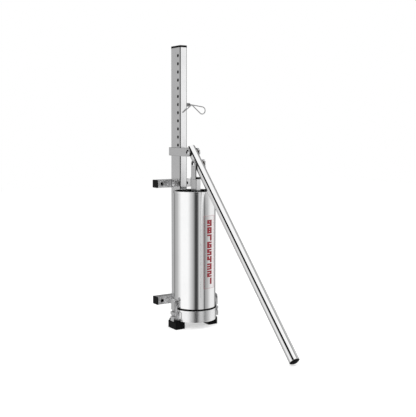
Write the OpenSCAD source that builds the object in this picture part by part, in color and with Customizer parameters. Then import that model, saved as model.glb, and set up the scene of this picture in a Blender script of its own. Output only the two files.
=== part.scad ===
// Wall mounted lever press that squeezes potter's clay out of a steel barrel.
// Lengths are millimetres. The wall is the plane Y = 0, the user stands at -Y,
// and the origin is the middle of the four wall bolts.

/* [Barrel] */
// Outside diameter of the clay barrel
barrel_od = 101.6; // [90:0.1:114]
// Wall of the barrel tube
barrel_wall = 2; // [1.5:0.1:3]
// Height of the barrel above its seal
barrel_h = 284; // [240:1:320]
// Height of the barrel's lower edge above the floor
barrel_lift = 49; // [46:0.5:54]
// Height of the bead round the barrel's mouth
rim_h = 6; // [4:0.5:9]
// Thickness of that bead
rim_t = 1.2; // [0.8:0.1:2]
// Width of each pad that joins the barrel to the post
pad_w = 16; // [10:1:18]
// Height of each pad that joins the barrel to the post
pad_h = 40; // [20:1:60]
// Gap between the die ring and the post's front face
post_gap = 0.5; // [0.4:0.1:3]

/* [Post] */
// Width of the post tube, side to side
post_w = 20; // [16:0.5:24]
// Depth of the post tube, front to back
post_d = 45; // [38:0.5:50]
// Wall of the post tube
post_wall = 2; // [1.5:0.1:3]
// Height of the post's lower end above the floor
post_lift = 28; // [22:1:34]
// Height of the post's upper end above the floor
post_top = 685; // [660:1:720]
// Outer corner radius of the post tube
post_corner = 2; // [1:0.1:3]
// Thickness of the caps in the post's ends
post_cap_t = 5; // [2:0.5:6]
// Diameter of the peg holes through the post's sides
peg_hole_d = 7; // [6.6:0.1:8]
// Number of peg holes
peg_holes = 12; // [10:1:12]
// Spacing of the peg holes
peg_pitch = 20.2; // [19:0.1:21]
// Distance of the highest peg hole below the post's upper end
peg_drop = 20.3; // [18:0.1:26]
// Distance of the peg holes behind the post's front face
peg_inset = 10.7; // [9:0.1:14]

/* [Wall bars] */
// Length of each wall bar
bar_l = 96; // [90:1:110]
// Depth of each wall bar, front to back
bar_d = 25; // [20:0.5:30]
// Height of each wall bar
bar_h = 20; // [18:0.5:24]
// Wall of the bar tube
bar_wall = 2; // [1.5:0.1:3]
// Height of the lower wall bolts above the floor
low_bolt_z = 46; // [44:0.5:56]
// Distance between the lower and the upper wall bolts
bolt_rise = 298; // [285:1:300]
// Distance between the two wall bolts of one bar
bolt_span = 72; // [60:1:76]
// Diameter of each wall bolt hole
wall_hole_d = 9; // [6:0.1:10]
// Length of the clamp ears along the post
ear_l = 24; // [18:0.5:28]
// Thickness of the clamp ears
ear_t = 3; // [2:0.1:4]
// Diameter of the clamp bolts
clamp_bolt_d = 6; // [5:0.1:6.5]

/* [Collar] */
// Height of the sliding collar
collar_h = 20.5; // [18:0.5:24]
// Thickness of the collar's strap
strap_t = 3; // [2.5:0.1:4]
// Clear width between the collar's two cheeks
cheek_gap = 24; // [23.6:0.1:26]
// Height of the lever's fulcrum above the floor
fulcrum_z = 426; // [418:0.5:430]
// Distance of the fulcrum behind the barrel's axis
fulcrum_y = 8.5; // [7:0.5:14]
// Running clearance between the collar's liners and the post
slide_gap = 0.15; // [0.1:0.01:0.25]
// Diameter of the two pivot bolts
pivot_d = 8; // [6:0.1:9]
// Thickness of the two pivot bolts' heads and nuts
pivot_head_t = 2.8; // [2:0.1:4]

/* [Lever] */
// Outside diameter of the lever tube
lever_od = 22.2; // [20:0.1:23]
// Wall of the lever tube
lever_wall = 2; // [1.5:0.1:3]
// Length of the lever tube from the fulcrum to its tip
lever_reach = 575; // [500:1:576]
// Length of the lever tube beyond the fulcrum
lever_stub = 14.5; // [12.5:0.5:18]
// Angle between the lever and the post
lever_lean = 43.6; // [43:0.1:45]
// Distance from the fulcrum to the link pivot
link_arm = 37; // [34:0.5:38]
// Thickness of the domed cap on the lever's tip
tip_cap_t = 4.5; // [2:0.1:5]

/* [Push rod and plunger] */
// Depth of the push rod, front to back
rod_d = 25; // [20:0.5:26]
// Width of the push rod, side to side
rod_w = 13.4; // [12:0.1:16]
// Wall of the push rod tube
rod_wall = 2; // [1.5:0.1:3]
// Distance of the push rod in front of the barrel's axis
rod_ahead = 4; // [2:0.5:6]
// Height of the push rod's upper end above the floor
rod_top_z = 362; // [355:1:366]
// Height of the plunger pin above the floor
plunger_pin_z = 66; // [64:0.5:72]
// Depth of the fork's two ears
fork_d = 20; // [18:0.5:22]
// Thickness of the fork's two ears
fork_t = 3; // [2.5:0.1:4]
// Thickness of the plunger disc
plunger_t = 10; // [8:0.5:11]
// Gap between the plunger and the barrel's bore
plunger_gap = 2.2; // [2.1:0.1:3]
// Diameter of the plunger pin
plunger_pin_d = 8; // [6:0.1:9]

/* [Die ring] */
// Height of the clamp ring that holds the die
ring_h = 31; // [29:0.5:32]
// Thickness of that ring
ring_t = 1.8; // [1.5:0.1:3]
// Thickness of the die plate
die_t = 4; // [3:0.5:6]
// Diameter of the die's opening
die_hole_d = 30; // [10:0.5:60]
// Height of the black seal between barrel and ring
seal_h = 2.8; // [0.8:0.1:4]

/* [Latches and feet] */
// Width of each latch lever
latch_w = 14.8; // [14:0.1:15]
// Length of each latch lever above its pivot
latch_l = 25; // [20:0.5:27]
// Diameter of the latch's wire bail
bail_d = 2.8; // [2:0.1:3]
// Distance of the catch's outer face from the barrel's axis
catch_x = 64.8; // [64:0.1:66]
// Width of each foot block, side to side
foot_w = 26; // [22:0.5:28]
// Depth of each foot block, front to back
foot_d = 38.6; // [34:0.1:44]
// How much nearer the barrel's axis the right foot is than the left one
right_foot_in = 10; // [8:0.5:12]

/* [Lock pin] */
// Diameter of the lock pin
pin_d = 6; // [5:0.1:6.4]
// How many peg holes the lock pin is above the collar's nearest free one
pin_above = 5; // [5:1:10]
// Diameter of the spring wire on the lock pin
wire_d = 2.4; // [1.8:0.1:2.5]

/* [Scale plate] */
// Height of the plate on the barrel
plate_h = 178; // [120:1:200]
// Width of that plate round the barrel
plate_w = 38; // [30:1:42]
// Turn of the plate from the front, to the right
plate_turn = 14; // [5:1:25]

/* [Hidden] */
$fn = 64;
// Gap between two pieces that are fixed to each other along a round face
seat = 0.1;
// Overrun of a cut past the face that it opens
over = 1;
// Clearance of a fixed bolt in its hole, on the radius
bolt_slack = 0.2;
// Running clearance of a pivot, on the radius
run = 0.05;

barrel_r = barrel_od / 2;
bore_r = barrel_r - barrel_wall;
ring_r = barrel_r + ring_t;
post_front = ring_r + post_gap;
post_back = post_front + post_d;
reach = post_back + bar_d;
floor_z = -(low_bolt_z + bolt_rise / 2);
rim_z = barrel_lift + barrel_h;
pad_place_share = 1 / 6;
pad_low_z = barrel_lift + barrel_h * pad_place_share;
pad_high_z = rim_z - barrel_h * pad_place_share;

peg_y = post_front + peg_inset;
peg_low = post_top - peg_drop - (peg_holes - 1) * peg_pitch;
cap_t = 2.5;
cap_fit = 0.1;
cap_plug = 6;
cap_lip = 0.3;

bar_levels = [low_bolt_z, low_bolt_z + bolt_rise];
ear_front = post_back - ear_l;
clamp_place_share = 0.38;
clamp_y = ear_front + ear_l * clamp_place_share;
clamp_out = post_w / 2 + seat + ear_t;
clamp_head_r_share = 0.9;
clamp_head_t_share = 0.55;
clamp_head_r = clamp_bolt_d * clamp_head_r_share;
clamp_head_t = clamp_bolt_d * clamp_head_t_share;
clamp_nut_share = 1.4;
clamp_nut_t = clamp_head_t * clamp_nut_share;

cheek_in = cheek_gap / 2;
cheek_out = cheek_in + strap_t;
collar_low = fulcrum_z - collar_h / 2;
collar_high = collar_low + collar_h;
// Lowest hole, counted from 0, that the resting collar leaves free
first_free = max(0, ceil((collar_high + peg_hole_d / 2 - peg_low) / peg_pitch));
pin_z = peg_low + (first_free + pin_above) * peg_pitch;
liner_t = cheek_in - post_w / 2 - slide_gap;
back_in = post_back + slide_gap + liner_t;
collar_back = back_in + strap_t;
bridge_t = 6;
bridge_y = post_front - slide_gap - bridge_t;
head_r_share = 0.85;
head_r = pivot_d * head_r_share;
head_t = pivot_head_t;
// Share of the bolt's diameter that its hexagon socket takes, on the radius
socket_share = 0.3;
socket_r = pivot_d * socket_share;
// Shares of a button head: its flat end's radius, and its socket's depth
head_flat_share = 0.62;
socket_depth_share = 0.6;
// Share of a low nut's height that its hexagon takes, below its round crown
nut_hex_share = 0.7;
nut_crown_share = 0.8;
// Overrun of a ball that joins two wires, so that it stands clear of both
wire_joint_share = 1.05;
pivot_slack = 0.3;

lever_r = lever_od / 2;
link_y = fulcrum_y - link_arm * sin(lever_lean);
link_z = fulcrum_z - link_arm * cos(lever_lean);
// How far the tip's cap stands out round the tube
tip_lip = 0.8;
bush_wall = 1.5;
bush_t = (cheek_gap - lever_od) / 2 - pivot_slack;

rod_y = -rod_ahead;
rod_back_y = rod_y + rod_d / 2;
fork_base_t = 4;
fork_low_z = rod_top_z;
plunger_r = bore_r - plunger_gap;
plunger_z = plunger_pin_z - plunger_pin_d - plunger_t;
lug_in = rod_w / 2 + pivot_slack;
lug_t = 4;
lug_out = lug_in + lug_t;
lug_r = plunger_pin_d;
hub_t = 3;
hub_r = rod_d;
rod_foot_share = 0.8;
rod_foot_z = plunger_pin_z - plunger_pin_d * rod_foot_share;
pin_collar_share = 0.7;

ring_z = barrel_lift - ring_h;
seal_lip = 0.2;
shelf_z = ring_z + die_t;
shelf_in = bore_r - 2 * barrel_wall;

// Gap between the latch base's face and the die ring
latch_clear = 0.6;
// Distance of the latch lever's pivot from that face
latch_stand = 3.8;
// Distance of that pivot below the barrel's lower edge
latch_drop = 1;
latch_gap = 0.4;
latch_heel = 2.4;
latch_plate_t = 2;
latch_pin_r = 1.8;
latch_ear_t = 1.6;
latch_side_gap = 0.3;
latch_in = ring_r + latch_clear;
latch_pivot_x = latch_in + latch_stand;
latch_pivot_z = barrel_lift - latch_drop;
latch_end_r = latch_stand - latch_gap;
latch_out = latch_pivot_x + latch_end_r + latch_gap;
latch_half = latch_w / 2;
cheek_t = 1.6;
cheek_l = latch_l / 2;
latch_ear_out = latch_half - cheek_t - latch_side_gap;
// Place of the bail's pivot, inwards and up from the lever's pivot
bail_in = 2;
bail_up = 8;
// Depth of the bail's bar in the catch, and its distance below the lever's pivot
bail_bite = 4.3;
bail_reach = 16;
bail_r = bail_d / 2;
bail_y = latch_half + latch_gap + bail_r;
bail_pivot_x = latch_pivot_x - bail_in;
bail_pivot_z = latch_pivot_z + bail_up;
bail_bar_x = catch_x - bail_bite;
bail_bar_z = latch_pivot_z - bail_reach;
notch_gap = 0.8;
// Gap between the catch and the lever when it is laid open
catch_gap = 1.4;
catch_low = ring_z;
catch_high = latch_pivot_z - latch_end_r - latch_gap - latch_plate_t - catch_gap;
saddle_half = foot_d / 2;
saddle_t = 1.5;
base_half = 12;
base_rise = 3;
base_h = 16;
base_low = barrel_lift + base_rise;
base_high = base_low + base_h;

foot_h = ring_z;
foot_x = catch_x - foot_w / 2;
foot_screw_r = 4;
foot_screw_h = 5;
foot_screw_inset = 1.5;
foot_screw_y = foot_d / 2 - foot_screw_r - foot_screw_inset;
foot_screw_x = catch_x - foot_screw_r - foot_screw_inset;
// The right foot's screws stand inside the ring, below the die plate
foot_screw_gap = 0.6;
inner_screw_h = shelf_z - foot_h - foot_screw_gap;
inner_screw_x = catch_x - right_foot_in - foot_w + foot_screw_r + foot_screw_inset;

// How deep the pin's end lies inside its hole in the post's left side
pin_recess = 1.5;
pin_head_l = 9;
pin_head_share = 0.75;
pin_head_r = pin_d * pin_head_share;
pin_head_x = cheek_out;
wire_r = wire_d / 2;
wire_gap = 0.5;
wire_y = post_front - wire_r - wire_gap;
loop_l = 34;
loop_r = 9;
loop_drop = 14;
leg_place_share = 0.15;
leg_x = -post_w * leg_place_share;
leg_drop = 20;

plate_t = 0.6;
plate_place_share = 0.486;
plate_z = barrel_lift + barrel_h * plate_place_share;

steel = "gainsboro";
dark_steel = "darkgray";
black = [0.08, 0.08, 0.08];

// Bench frame: the barrel's axis is X = Y = 0 and the floor is Z = 0.
module on_bench() {
    translate([0, -reach, floor_z]) children();
}

module block(low, high) {
    translate(low) cube(high - low);
}

module rod_x(x0, x1, y, z, r) {
    translate([x0, y, z]) rotate([0, 90, 0]) cylinder(h = x1 - x0, r = r);
}

module rod_y(x, y0, y1, z, r) {
    translate([x, y1, z]) rotate([90, 0, 0]) cylinder(h = y1 - y0, r = r);
}

module wire(a, b, r) {
    run_v = b - a;
    run_l = norm(run_v);
    tilt = acos(run_v[2] / run_l);
    swing = atan2(run_v[1], run_v[0]);
    translate(a) rotate([0, tilt, swing]) cylinder(h = run_l, r = r);
}

module rounded_tube(w, d, wall, h, corner) {
    linear_extrude(h) difference() {
        rounded_face(w, d, corner);
        square([w - 2 * wall, d - 2 * wall], center = true);
    }
}

module rounded_face(w, d, corner) {
    square([w - 2 * corner, d], center = true);
    square([w, d - 2 * corner], center = true);
    for (sx = [-1, 1], sy = [-1, 1])
        translate([sx * (w / 2 - corner), sy * (d / 2 - corner)])
            circle(r = corner);
}

module barrel_round(z0, z1, r) {
    translate([0, 0, z0]) cylinder(h = z1 - z0, r = r, $fn = 128);
}

// Button head bolt along X with a socket in its head, at -X
module button_bolt(x0, x1, y, z, r, hr, ht, sr) {
    difference() {
        union() {
            rod_x(x0, x1, y, z, r);
            translate([x0 - ht, y, z]) rotate([0, 90, 0])
                cylinder(h = ht, r1 = hr * head_flat_share, r2 = hr);
        }
        translate([x0 - ht - over, y, z]) rotate([0, 90, 0])
            cylinder(h = over + ht * socket_depth_share, r = sr, $fn = 6);
    }
}

// Low nut along X, its flat face at x0
module low_nut(x0, y, z, r, t, bore) {
    difference() {
        union() {
            rod_x(x0, x0 + t * nut_hex_share, y, z, r, $fn = 6);
            rod_x(x0, x0 + t, y, z, r * nut_crown_share);
        }
        rod_x(x0 - over, x0 + t + over, y, z, bore);
    }
}

module post() {
    on_bench() color(steel) difference() {
        translate([0, post_front + post_d / 2, post_lift])
            rounded_tube(post_w, post_d, post_wall, post_top - post_lift, post_corner);
        for (i = [0:peg_holes - 1])
            rod_x(-post_w, post_w, peg_y, peg_low + i * peg_pitch, peg_hole_d / 2);
        for (z = bar_levels)
            rod_x(-post_w, post_w, clamp_y, z, clamp_bolt_d / 2 + bolt_slack);
    }
}

module tube_cap(w, d, wall, corner, lid) {
    translate([0, 0, -cap_plug]) linear_extrude(cap_plug)
        square([w - 2 * wall - 2 * cap_fit, d - 2 * wall - 2 * cap_fit], center = true);
    linear_extrude(lid) rounded_face(w + 2 * cap_lip, d + 2 * cap_lip, corner);
}

module post_caps() {
    on_bench() color(black) translate([0, post_front + post_d / 2, 0]) {
        translate([0, 0, post_top]) tube_cap(post_w, post_d, post_wall, post_corner, post_cap_t);
        translate([0, 0, post_lift]) mirror([0, 0, 1])
            tube_cap(post_w, post_d, post_wall, post_corner, post_cap_t);
    }
}

module wall_bar(z) {
    on_bench() color(steel) difference() {
        translate([-bar_l / 2, post_back + bar_d / 2, z]) rotate([0, 90, 0])
            rounded_tube(bar_h, bar_d, bar_wall, bar_l, post_corner);
        for (sx = [-1, 1])
            rod_y(sx * bolt_span / 2, post_back - over, reach + over, z, wall_hole_d / 2);
    }
}

module upper_wall_bar() {
    wall_bar(bar_levels[1]);
}

module lower_wall_bar() {
    wall_bar(bar_levels[0]);
}

module wall_bar_caps() {
    bar_plug = (bar_l - bolt_span - wall_hole_d) / 2 - over;
    on_bench() color(black) for (z = bar_levels, sx = [-1, 1])
        translate([sx * bar_l / 2, post_back + bar_d / 2, z])
            rotate([0, sx * 90, 0]) {
                translate([0, 0, -bar_plug]) linear_extrude(bar_plug)
                    square([bar_h - 2 * bar_wall - 2 * cap_fit,
                            bar_d - 2 * bar_wall - 2 * cap_fit], center = true);
                linear_extrude(cap_t) rounded_face(bar_h, bar_d, post_corner);
            }
}

module post_clamp(z) {
    on_bench() color(steel) difference() {
        for (sx = [-1, 1])
            translate([sx * (clamp_out - ear_t / 2), ear_front + ear_l / 2, z])
                cube([ear_t, ear_l, bar_h], center = true);
        rod_x(-clamp_out - over, clamp_out + over, clamp_y, z, clamp_bolt_d / 2 + bolt_slack);
    }
}

module upper_post_clamp() {
    post_clamp(bar_levels[1]);
}

module lower_post_clamp() {
    post_clamp(bar_levels[0]);
}

module clamp_bolts() {
    on_bench() color(dark_steel) for (z = bar_levels) {
        button_bolt(-clamp_out, clamp_out + clamp_head_t, clamp_y, z,
                    clamp_bolt_d / 2, clamp_head_r, clamp_head_t,
                    clamp_bolt_d * socket_share);
        difference() {
            rod_x(clamp_out, clamp_out + clamp_nut_t, clamp_y, z, clamp_head_r, $fn = 6);
            rod_x(clamp_out - over, clamp_out + clamp_nut_t + over, clamp_y, z,
                  clamp_bolt_d / 2 + seat);
        }
    }
}

module barrel() {
    on_bench() color(steel) difference() {
        barrel_round(barrel_lift, rim_z, barrel_r);
        barrel_round(barrel_lift - over, rim_z + over, bore_r);
    }
}

module barrel_rim() {
    bead_low = rim_z - rim_h;
    on_bench() color(steel) difference() {
        barrel_round(bead_low, rim_z, barrel_r + rim_t);
        barrel_round(bead_low - over, rim_z + over, barrel_r + seat);
        block([-pad_w, post_front - seat, bead_low - over],
              [pad_w, post_back, rim_z + over]);
    }
}

module barrel_pads() {
    on_bench() color(steel) for (z = [pad_low_z, pad_high_z]) difference() {
        block([-pad_w / 2, barrel_r - pad_w / 4, z - pad_h / 2],
              [pad_w / 2, post_front, z + pad_h / 2]);
        barrel_round(z - pad_h, z + pad_h, barrel_r + seat);
    }
}

module barrel_seal() {
    on_bench() color(black) difference() {
        barrel_round(barrel_lift - seal_h, barrel_lift, ring_r + seal_lip);
        barrel_round(barrel_lift - seal_h - over, barrel_lift + over, bore_r);
    }
}

module die_ring() {
    ring_top = barrel_lift - seal_h;
    on_bench() color(steel) difference() {
        barrel_round(ring_z, ring_top, ring_r);
        barrel_round(shelf_z + die_t, ring_top + over, bore_r);
        barrel_round(shelf_z, shelf_z + die_t + over, bore_r - barrel_wall);
        barrel_round(ring_z - over, shelf_z + over, shelf_in);
    }
}

module die_plate() {
    on_bench() color(dark_steel) difference() {
        barrel_round(shelf_z, shelf_z + die_t, bore_r - barrel_wall - seat);
        barrel_round(shelf_z - over, shelf_z + die_t + over, die_hole_d / 2);
    }
}

module catch_block() {
    notch_low = bail_bar_z - bail_r - notch_gap;
    notch_high = bail_bar_z + bail_r + notch_gap;
    notch_x = bail_bar_x - bail_r - notch_gap;
    union() {
        difference() {
            block([-catch_x, -latch_half, catch_low], [-ring_r / 2, latch_half, catch_high]);
            barrel_round(catch_low - over, barrel_lift, ring_r + seat);
            block([-catch_x - over, -latch_w, notch_low], [-notch_x, latch_w, notch_high]);
        }
        intersection() {
            difference() {
                barrel_round(catch_low, catch_high, ring_r + saddle_t);
                barrel_round(catch_low - over, catch_high + over, ring_r + seat);
            }
            block([-catch_x, -saddle_half, catch_low], [0, saddle_half, catch_high]);
        }
    }
}

module left_catch() {
    on_bench() color(steel) catch_block();
}

module right_catch() {
    on_bench() color(steel) mirror([1, 0, 0]) catch_block();
}

module foot_block() {
    difference() {
        block([-foot_x - foot_w / 2, -foot_d / 2, 0], [-foot_x + foot_w / 2, foot_d / 2, foot_h]);
        for (sx = [-1, 1], sy = [-1, 1])
            translate([-foot_x + sx * foot_w / 2, sy * foot_d / 2, -over])
                rotate([0, 0, 45])
                    cube([foot_w / 12, foot_w / 12, 2 * (foot_h + 2 * over)], center = true);
    }
}

module left_foot() {
    on_bench() color(black) foot_block();
}

module right_foot() {
    on_bench() color(black) mirror([1, 0, 0]) translate([right_foot_in, 0, 0]) foot_block();
}

module foot_screws() {
    on_bench() color(black) for (sy = [-1, 1]) {
        translate([-foot_screw_x, sy * foot_screw_y, foot_h])
            cylinder(h = foot_screw_h, r = foot_screw_r);
        translate([inner_screw_x, sy * foot_screw_y, foot_h])
            cylinder(h = inner_screw_h, r = foot_screw_r);
    }
}

module scale_plate() {
    half_turn = plate_w / 2 / barrel_r * 180 / PI;
    on_bench() color("white") translate([0, 0, plate_z - plate_h / 2])
        rotate([0, 0, -90 + plate_turn - half_turn])
            rotate_extrude(angle = 2 * half_turn, $fn = 128)
                translate([barrel_r + seat, 0]) square([plate_t, plate_h]);
}

module latch_base() {
    difference() {
        union() {
            difference() {
                block([-latch_in, -base_half, base_low], [-barrel_r / 2, base_half, base_high]);
                barrel_round(base_low - over, base_high + over, barrel_r + seat);
            }
            for (sy = [-1, 1])
                translate([0, sy * (latch_ear_out - latch_ear_t / 2), 0]) {
                    translate([-latch_pivot_x, latch_ear_t / 2, latch_pivot_z])
                        rotate([90, 0, 0]) cylinder(h = latch_ear_t, r = latch_end_r);
                    block([-latch_pivot_x - latch_end_r, -latch_ear_t / 2, latch_pivot_z],
                          [-latch_in, latch_ear_t / 2, base_high - latch_end_r]);
                }
        }
        rod_y(-latch_pivot_x, -latch_w, latch_w, latch_pivot_z, latch_pin_r + run);
    }
}

module left_latch_base() {
    on_bench() color(steel) latch_base();
}

module right_latch_base() {
    on_bench() color(steel) mirror([1, 0, 0]) latch_base();
}

module latch_pins() {
    on_bench() color(dark_steel) for (sx = [-1, 1])
        rod_y(sx * latch_pivot_x, -latch_half, latch_half, latch_pivot_z, latch_pin_r);
}

// Pill shaped plate with two cheeks that straddle the base's ears
module latch_lever() {
    plate_in = latch_out;
    plate_low = latch_pivot_z - latch_heel;
    plate_high = latch_pivot_z + latch_l;
    difference() {
        union() {
            intersection() {
                block([-plate_in - latch_plate_t, -latch_half, plate_low],
                      [-plate_in, latch_half, plate_high]);
                union() {
                    translate([-plate_in - 2 * latch_plate_t, 0, plate_high - latch_half])
                        rotate([0, 90, 0]) cylinder(h = 4 * latch_plate_t, r = latch_half);
                    block([-plate_in - 2 * latch_plate_t, -latch_half, plate_low - over],
                          [-plate_in + over, latch_half, plate_high - latch_half]);
                }
            }
            for (sy = [-1, 1])
                translate([0, sy * (latch_half - cheek_t / 2), 0]) {
                    translate([-latch_pivot_x, cheek_t / 2, latch_pivot_z])
                        rotate([90, 0, 0]) cylinder(h = cheek_t, r = latch_end_r);
                    block([-plate_in, -cheek_t / 2, latch_pivot_z],
                          [-latch_in - latch_gap, cheek_t / 2, latch_pivot_z + cheek_l]);
                    block([-plate_in, -cheek_t / 2, plate_low],
                          [-latch_pivot_x, cheek_t / 2, latch_pivot_z]);
                }
        }
        rod_y(-latch_pivot_x, -latch_w, latch_w, latch_pivot_z, latch_pin_r + run);
        rod_y(-bail_pivot_x, -latch_w, latch_w, bail_pivot_z, bail_r + run);
    }
}

module left_latch_lever() {
    on_bench() color(steel) latch_lever();
}

module right_latch_lever() {
    on_bench() color(steel) mirror([1, 0, 0]) latch_lever();
}

module latch_bail() {
    top = [-bail_pivot_x, bail_y, bail_pivot_z];
    low = [-bail_bar_x, bail_y, bail_bar_z];
    end_y = latch_half - cheek_t;
    for (side = [0, 1]) mirror([0, side, 0]) {
        wire(top, low, bail_r);
        translate(top) sphere(r = bail_r * wire_joint_share);
        translate(low) sphere(r = bail_r * wire_joint_share);
        rod_y(top[0], end_y, bail_y, top[2], bail_r);
    }
    rod_y(low[0], -bail_y, bail_y, low[2], bail_r);
}

module left_latch_bail() {
    on_bench() color(dark_steel) latch_bail();
}

module right_latch_bail() {
    on_bench() color(dark_steel) mirror([1, 0, 0]) latch_bail();
}

// U shaped strap that wraps the post and carries the fulcrum
module collar_strap() {
    on_bench() color(steel) difference() {
        union() {
            for (sx = [-1, 1]) {
                x0 = sx > 0 ? cheek_in : -cheek_out;
                rod_x(x0, x0 + strap_t, fulcrum_y, fulcrum_z, collar_h / 2);
                block([x0, fulcrum_y, collar_low], [x0 + strap_t, collar_back, collar_high]);
            }
            block([-cheek_out, back_in, collar_low], [cheek_out, collar_back, collar_high]);
        }
        rod_x(-cheek_out - over, cheek_out + over, fulcrum_y, fulcrum_z, pivot_d / 2 + run);
    }
}

module collar_liners() {
    liner_y = post_front - slide_gap;
    on_bench() color(black) {
        for (sx = [-1, 1]) {
            x0 = sx > 0 ? cheek_in - liner_t : -cheek_in;
            block([x0, liner_y, collar_low], [x0 + liner_t, back_in - liner_t, collar_high]);
        }
        block([-cheek_in, back_in - liner_t, collar_low], [cheek_in, back_in, collar_high]);
    }
}

module collar_bridge() {
    on_bench() color(dark_steel)
        block([-cheek_in, bridge_y, collar_low], [cheek_in, bridge_y + bridge_t, collar_high]);
}

module pivot_bolt(y, z) {
    on_bench() color(dark_steel)
        button_bolt(-cheek_out, cheek_out + head_t, y, z, pivot_d / 2, head_r, head_t, socket_r);
}

module pivot_nut(y, z) {
    on_bench() color(dark_steel)
        low_nut(cheek_out, y, z, head_r, head_t, pivot_d / 2 + seat);
}

module fulcrum_bolt() {
    pivot_bolt(fulcrum_y, fulcrum_z);
}

module fulcrum_nut() {
    pivot_nut(fulcrum_y, fulcrum_z);
}

module link_bolt() {
    pivot_bolt(link_y, link_z);
}

module link_nut() {
    pivot_nut(link_y, link_z);
}

// Lever frame: the fulcrum is the origin and the lever runs along -Z
module on_lever() {
    on_bench() translate([0, fulcrum_y, fulcrum_z]) rotate([-lever_lean, 0, 0]) children();
}

module lever_tube() {
    on_lever() color(steel) difference() {
        translate([0, 0, -lever_reach]) cylinder(h = lever_reach + lever_stub, r = lever_r);
        translate([0, 0, -lever_reach - over])
            cylinder(h = lever_reach + lever_stub + 2 * over, r = lever_r - lever_wall);
        for (z = [0, -link_arm])
            rod_x(-lever_od, lever_od, 0, z, pivot_d / 2 + run + bush_wall);
    }
}

module lever_cap(plug_r) {
    lid_r = lever_r + tip_lip;
    dome_r = (pow(lid_r, 2) + pow(tip_cap_t, 2)) / (2 * tip_cap_t);
    cylinder(h = cap_plug, r = plug_r);
    intersection() {
        translate([0, 0, dome_r - tip_cap_t]) sphere(r = dome_r, $fn = 96);
        translate([0, 0, -tip_cap_t]) cylinder(h = tip_cap_t, r = lid_r);
    }
}

module lever_caps() {
    plug_r = lever_r - lever_wall - cap_fit;
    on_lever() color(black) {
        translate([0, 0, -lever_reach]) lever_cap(plug_r);
        translate([0, 0, lever_stub - cap_t]) cylinder(h = cap_t, r = plug_r);
    }
}

module lever_bushes() {
    side = lever_r + bush_t;
    on_lever() color(dark_steel) for (z = [0, -link_arm]) difference() {
        rod_x(-side, side, 0, z, pivot_d / 2 + run + bush_wall);
        rod_x(-side - over, side + over, 0, z, pivot_d / 2 + run);
    }
}

// Two ears on a base that is welded to the top of the rod
module fork() {
    ear_low = fork_low_z;
    on_bench() color(steel) difference() {
        union() {
            for (sx = [-1, 1]) {
                x0 = sx > 0 ? cheek_in : -cheek_in - fork_t;
                rod_x(x0, x0 + fork_t, link_y, link_z, fork_d / 2);
                block([x0, link_y - fork_d / 2, ear_low], [x0 + fork_t, link_y + fork_d / 2, link_z]);
            }
            block([-cheek_in - fork_t, link_y - fork_d / 2, ear_low],
                  [cheek_in + fork_t, link_y + fork_d / 2, ear_low + fork_base_t]);
            block([-rod_w / 2, link_y, ear_low], [rod_w / 2, rod_back_y, ear_low + fork_base_t]);
        }
        rod_x(-cheek_out - over, cheek_out + over, link_y, link_z, pivot_d / 2 + run);
    }
}

module push_rod() {
    on_bench() color(steel) difference() {
        translate([0, rod_y, rod_foot_z])
            rounded_tube(rod_w, rod_d, rod_wall, rod_top_z - rod_foot_z, rod_wall / 2);
        rod_x(-rod_d, rod_d, rod_y, plunger_pin_z, plunger_pin_d / 2 + run);
    }
}

module rod_foot() {
    foot_in_w = rod_w - 2 * rod_wall - 2 * seat;
    foot_in_d = rod_d - 2 * rod_wall - 2 * seat;
    on_bench() color(dark_steel) difference() {
        translate([0, rod_y, rod_foot_z + rod_d / 2])
            cube([foot_in_w, foot_in_d, rod_d], center = true);
        rod_x(-rod_d, rod_d, rod_y, plunger_pin_z, plunger_pin_d / 2 + run);
    }
}

module plunger_disc() {
    on_bench() color("whitesmoke")
        barrel_round(plunger_z, plunger_z + plunger_t - hub_t, plunger_r);
}

module plunger_hub() {
    hub_z = plunger_z + plunger_t - hub_t;
    on_bench() color(steel) difference() {
        union() {
            translate([0, rod_y, hub_z]) cylinder(h = hub_t, r = hub_r);
            for (sx = [-1, 1]) {
                x0 = sx > 0 ? lug_in : -lug_out;
                rod_x(x0, x0 + lug_t, rod_y, plunger_pin_z, lug_r);
                block([x0, rod_y - lug_r, hub_z], [x0 + lug_t, rod_y + lug_r, plunger_pin_z]);
            }
        }
        rod_x(-hub_r, hub_r, rod_y, plunger_pin_z, plunger_pin_d / 2 + run);
    }
}

module plunger_pin() {
    on_bench() color(dark_steel) {
        rod_x(-lug_out - over, lug_out + over, rod_y, plunger_pin_z, plunger_pin_d / 2);
        for (sx = [-1, 1]) {
            x0 = sx > 0 ? lug_out + seat : -lug_out - seat - over;
            rod_x(x0, x0 + over, rod_y, plunger_pin_z, plunger_pin_d * pin_collar_share);
        }
    }
}

module plunger_screws() {
    screw_r = hub_t;
    ring = hub_r - 2 * screw_r;
    on_bench() color(dark_steel) for (a = [0:90:270])
        translate([ring * sin(a + 45), rod_y + ring * cos(a + 45), plunger_z + plunger_t])
            cylinder(h = hub_t, r = screw_r);
}

module lock_pin() {
    on_bench() color(steel) difference() {
        union() {
            rod_x(-post_w / 2 + pin_recess, pin_head_x, peg_y, pin_z, pin_d / 2);
            rod_x(post_w / 2 + seat, pin_head_x + pin_head_l, peg_y, pin_z, pin_head_r);
        }
        rod_y(pin_head_x + pin_head_l / 2, peg_y - pin_d, peg_y + pin_d, pin_z, wire_r + seat);
    }
}

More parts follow.
